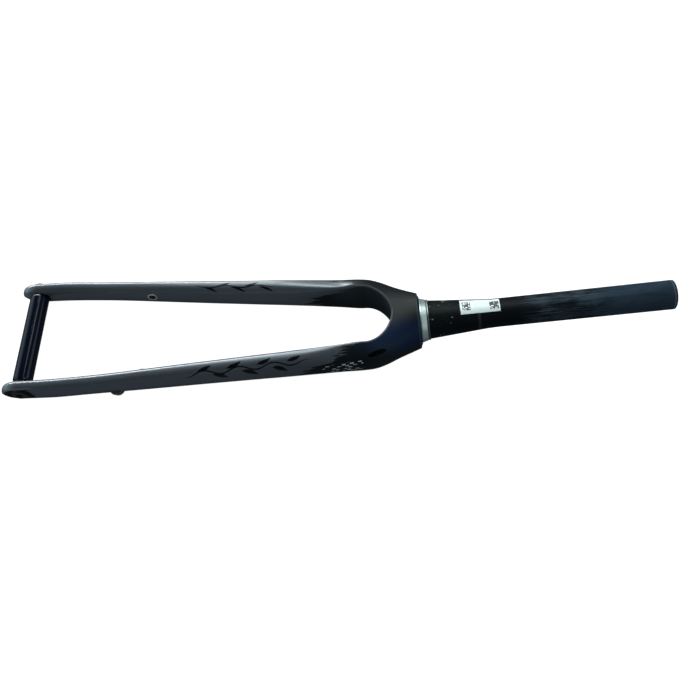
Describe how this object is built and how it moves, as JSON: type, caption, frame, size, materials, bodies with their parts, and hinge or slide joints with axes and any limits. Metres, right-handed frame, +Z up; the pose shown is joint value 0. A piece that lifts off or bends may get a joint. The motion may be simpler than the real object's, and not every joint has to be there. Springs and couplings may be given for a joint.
{
  "type": "bicycle fork",
  "caption": "Rigid carbon bicycle fork with a tapered steerer, straight hollow blades, a thru-axle with a spacer tube, and a flat disc caliper mount.",
  "frame": {"origin": "on the surface the fork lies on, under the middle of its bounding box", "axes": "+X along the fork towards the steerer's open end, +Y to the rider's right, +Z up, which is the fork's front as it lies on its back"},
  "size_m": [0.659, 0.1278, 0.0782],
  "materials": {
    "carbon_paint": "satin slate paint fading into bare black carbon",
    "raw_carbon": "raw black carbon, sanded towards the top",
    "race_metal": "bright turned",
    "axle_black": "black anodised",
    "spacer_black": "gloss black",
    "insert_metal": "plain machined",
    "grommet_rubber": "matte black",
    "label_white": "satin white film"
  },
  "bodies": {
    "root": {"steerer_tube": "raw_carbon", "crown_right": "carbon_paint", "crown_left": "carbon_paint", "blade_right": "carbon_paint", "blade_left": "carbon_paint", "crown_race": "race_metal", "thru_axle": "axle_black", "axle_spacer": "spacer_black", "left_dropout_bush": "axle_black", "right_axle_insert": "axle_black", "caliper_insert_upper": "insert_metal", "caliper_insert_lower": "insert_metal", "fender_insert_right": "insert_metal", "fender_insert_left": "insert_metal", "hose_entry_grommet": "grommet_rubber", "hose_exit_grommet": "grommet_rubber", "steerer_label": "label_white"}
  },
  "joints": []
}
